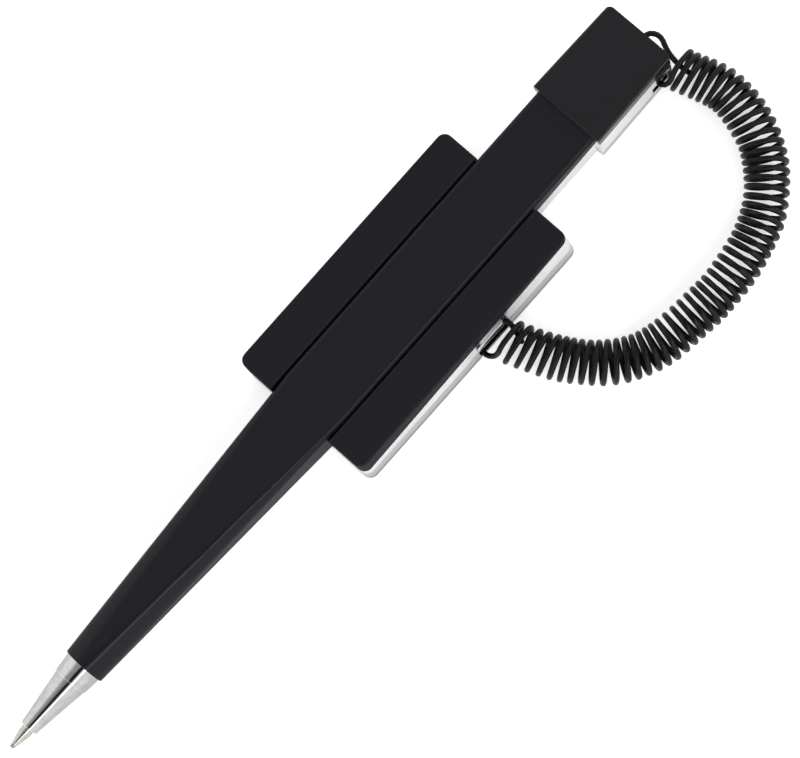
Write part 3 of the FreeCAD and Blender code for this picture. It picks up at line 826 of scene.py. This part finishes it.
coil_middle = smooth_line(from_point(under_pin, coil_by_holder) + from_point(under_corner, coil_by_cap))
coil_wire = wound(coil_middle)
lead_step = steps_per_turn // 8
lead_in = [tuple(coil_wire[index * lead_step]) for index in range(tie_in)]
lead_out = [tuple(coil_wire[-1 - index * lead_step]) for index in reversed(range(tie_in))]
hook_line = smooth_line(from_point(pin_middle, holder_turn) + lead_in)
cap_line = smooth_line(lead_out + from_point(corner_at_holes, cap_turn))
coil_start = (tie_in - 1) * lead_step
wire_line = np.concatenate((hook_line, coil_wire[coil_start + 1:-coil_start - 1], cap_line))
wire_length = float(lengths_along(wire_line)[-1])
wire_points = at(wire_line, np.linspace(0, wire_length, round(turns * steps_per_turn) + hook_steps))


def wire_tube(name, line, diameter):
    """A round tube along a line, with domed ends; its UV map runs round it and along it in millimetres."""
    forward = directions(line)
    side = np.cross(forward[0], (0.0, 0.0, 1.0))
    side /= np.linalg.norm(side)
    angles = np.arange(sides) * 2 * math.pi / sides
    rows = []
    for point, heading in zip(line, forward):
        side = side - heading * side.dot(heading)
        side /= np.linalg.norm(side)
        up = np.cross(heading, side)
        rows.append([point + diameter / 2 * (math.cos(a) * side + math.sin(a) * up) for a in angles])
    for end, heading in ((0, -forward[0]), (-1, forward[-1])):
        last_row = rows[end]
        for share, reach in dome_rings:
            dome = [line[end] + (corner - line[end]) * share + heading * diameter * reach
                    for corner in last_row]
            rows = [dome] + rows if end == 0 else rows + [dome]
    vertices = [tuple(corner) for row in rows for corner in row]
    faces = []
    for number in range(len(rows) - 1):
        for index in range(sides):
            following = (index + 1) % sides
            low, high = number * sides, (number + 1) * sides
            faces.append((low + index, low + following, high + following, high + index))
    faces.append(tuple(range(sides))[::-1])
    faces.append(tuple(range(len(vertices) - sides, len(vertices))))
    mesh = bpy.data.meshes.new(name)
    mesh.from_pydata(vertices, [], faces)
    layer = mesh.uv_layers.new(name="wire")
    row_length = 1000 * lengths_along(np.array([np.mean(row, axis=0) for row in rows]))
    for face in mesh.polygons:
        face.use_smooth = len(face.vertices) == 4
        wraps = any(vertex % sides == sides - 1 for vertex in face.vertices)
        for loop, vertex in zip(face.loop_indices, face.vertices):
            round_it = vertex % sides
            if wraps and round_it == 0:
                round_it = sides
            layer.data[loop].uv = (round_it / sides, row_length[vertex // sides])
    return scene_object(name, mesh)


curly_cord = wire_tube("curly_cord", wire_points, wire_diameter)

cord_black = (0.0016, 0.0016, 0.0020, 1)
cord_grey = (0.0040, 0.0040, 0.0048, 1)
cord_roughness = 0.26
cord_film_roughness = 0.40
cord_film_size = 0.006
die_line_roughness = 0.06
die_line_depth = 0.00002
cord_plastic, cord_tree, cord_shader = new_material("cord_plastic", IOR=1.30, Coat_Weight=0.0)
wire_map = node(cord_tree, "ShaderNodeUVMap", uv_map="wire").outputs[0]
die_lines = node(cord_tree, "ShaderNodeMapping", {"Vector": wire_map, "Scale": (9.0, 0.04, 1.0)}).outputs[0]
die_noise = noise(cord_tree, die_lines, 3.0, Detail=2.0)
cord_film = use(cord_tree, film_effect, Vector=object_place(cord_tree), Size=cord_film_size)
cord_gloss = ramp(cord_tree, cord_film, 0, 1, cord_roughness, cord_film_roughness)
die_gloss = ramp(cord_tree, die_noise, 0.35, 0.65, 0.0, die_line_roughness)
cord_gloss = math_node(cord_tree, "ADD", cord_gloss, die_gloss)
finish(cord_tree, cord_shader, blend_colour(cord_tree, cord_film, cord_black, cord_grey), cord_gloss,
       bump(cord_tree, die_noise, die_line_depth))
curly_cord.data.materials.append(cord_plastic)

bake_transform(curly_cord)
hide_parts("coil_cord", "cord_loop_holder", "cord_loop_cap")

# ---- counter, light and camera ------------------------------------------------------------------
# A plain white counter that glows, more to the eye than to the pieces, under a white studio sky with
# one bright strip. The sky is dark in a band over the pen, where the camera stands, and dim beyond
# it, so that flat black faces read as charcoal.

counter_size = 3.0
counter_white = (0.92, 0.92, 0.92, 1)
counter_roughness = 0.85
counter_shine = 0.1
counter_glow = 0.60
counter_glow_on_pieces = 0.20
sky_bright = 1.30
sky_lamp = 5.0
sky_dim = 0.45
sky_dark = 0.02
camera_place = Vector((-0.02158, -0.12813, 0.58588))
camera_aim = Vector((-0.01006, -0.00620, 0.0))
camera_turn = math.radians(42.18)
camera_lens = 158.08
camera_sensor = 36.0
camera_nearest = 0.01


def counter_plane(shape):
    """One flat square round the origin."""
    bmesh.ops.create_grid(shape, x_segments=1, y_segments=1, size=counter_size / 2)


counter = mesh_object("counter", counter_plane, smooth=False)
counter_material, counter_tree, counter_shader = new_material("counter_white", Roughness=counter_roughness)
counter_shader.inputs["Base Color"].default_value = counter_white
counter_shader.inputs["Specular IOR Level"].default_value = counter_shine
counter_shader.inputs["Emission Color"].default_value = counter_white
seen = node(counter_tree, "ShaderNodeLightPath").outputs["Is Camera Ray"]
counter_tree.links.new(ramp(counter_tree, seen, 0, 1, counter_glow_on_pieces, counter_glow),
                       counter_shader.inputs["Emission Strength"])
counter.data.materials.append(counter_material)

world = bpy.data.worlds.new("studio")
world.use_nodes = True
bpy.context.scene.world = world
sky = world.node_tree
way = node(sky, "ShaderNodeTexCoord").outputs["Generated"]
parts = node(sky, "ShaderNodeSeparateXYZ", {0: way}).outputs
across_angle = math_node(sky, "ARCTAN2", parts["Y"], parts["Z"])
across_degrees = math_node(sky, "MULTIPLY", across_angle, 180 / math.pi)
sky_steps = ((-39.0, sky_bright), (-37.0, sky_lamp), (-32.0, sky_lamp), (-30.0, sky_bright),
             (-26.0, sky_bright), (-20.0, sky_dark), (-5.0, sky_dark), (0.0, sky_dim), (24.0, sky_dim),
             (40.0, sky_bright))
shade = None
for (start, before), (end, after) in zip(sky_steps, sky_steps[1:]):
    if before == after:
        continue
    step = ramp(sky, across_degrees, start, end, 0.0, after - before)
    shade = step if shade is None else math_node(sky, "ADD", shade, step)
brightness = math_node(sky, "ADD", shade, sky_bright)
background = sky.nodes["Background"]
background.inputs["Color"].default_value = (1, 1, 1, 1)
sky.links.new(brightness, background.inputs["Strength"])

back = (camera_place - camera_aim).normalized()
right = Vector((math.cos(camera_turn), math.sin(camera_turn), 0)).cross(back).normalized()
up = back.cross(right)
camera_data = bpy.data.cameras.new("camera")
camera_data.lens = camera_lens
camera_data.sensor_width = camera_sensor
camera_data.clip_start = camera_nearest
camera = scene_object("camera", camera_data)
camera.matrix_world = Matrix.Translation(camera_place) @ Matrix((right, up, back)).transposed().to_4x4()
bpy.context.scene.camera = camera
bpy.context.scene.view_settings.view_transform = "Standard"
